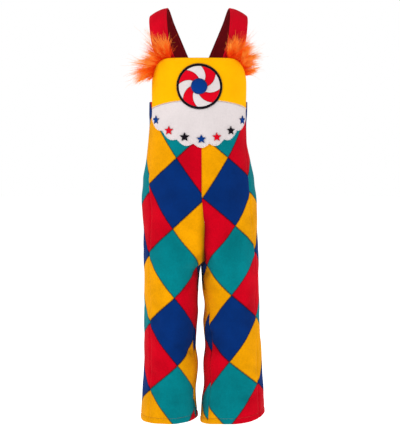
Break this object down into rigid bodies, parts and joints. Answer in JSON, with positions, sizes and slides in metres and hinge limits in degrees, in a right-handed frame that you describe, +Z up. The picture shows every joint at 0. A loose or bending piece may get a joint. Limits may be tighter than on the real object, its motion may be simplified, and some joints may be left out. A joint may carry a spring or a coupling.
{
  "type": "clown dungarees",
  "caption": "Child's clown dungarees, filled out as worn: wide printed fleece legs, a felt bib with a rosette and scalloped yoke, shoulder straps and tufts of fur.",
  "frame": {"origin": "between the shoulder straps at the height of their tops, where the wearer's shoulders hold the garment up", "axes": "+Z up, front of the garment faces -Y, the wearer's left side at +X"},
  "size_m": [0.273, 0.178, 0.8004],
  "materials": {
    "harlequin_fleece": "brushed polyester fleece printed with harlequin diamonds in red, blue, teal and yellow",
    "yellow_felt": "yellow fleece with a felted nap",
    "white_felt": "white fleece with a felted nap",
    "red_felt": "red felt",
    "blue_felt": "dark blue felt",
    "black_felt": "black felt",
    "strap_fleece": "red fleece, doubled",
    "fur": "long-pile orange fun fur"
  },
  "bodies": {
    "root": {"front_left": "harlequin_fleece", "front_right": "harlequin_fleece", "back_left": "harlequin_fleece", "back_right": "harlequin_fleece", "bib_upper": "yellow_felt", "bib_yoke": "white_felt", "vane_1": "red_felt", "vane_2": "white_felt", "vane_3": "red_felt", "vane_4": "white_felt", "vane_5": "red_felt", "vane_6": "white_felt", "vane_7": "red_felt", "vane_8": "white_felt", "rosette_ring": "black_felt", "rosette_dome": "blue_felt", "star_1": "blue_felt", "star_2": "red_felt", "star_3": "black_felt", "star_4": "blue_felt", "star_5": "red_felt", "star_6": "black_felt", "star_7": "blue_felt", "strap_left": "strap_fleece", "strap_right": "strap_fleece", "tuft_left": "fur", "tuft_right": "fur"}
  },
  "joints": []
}
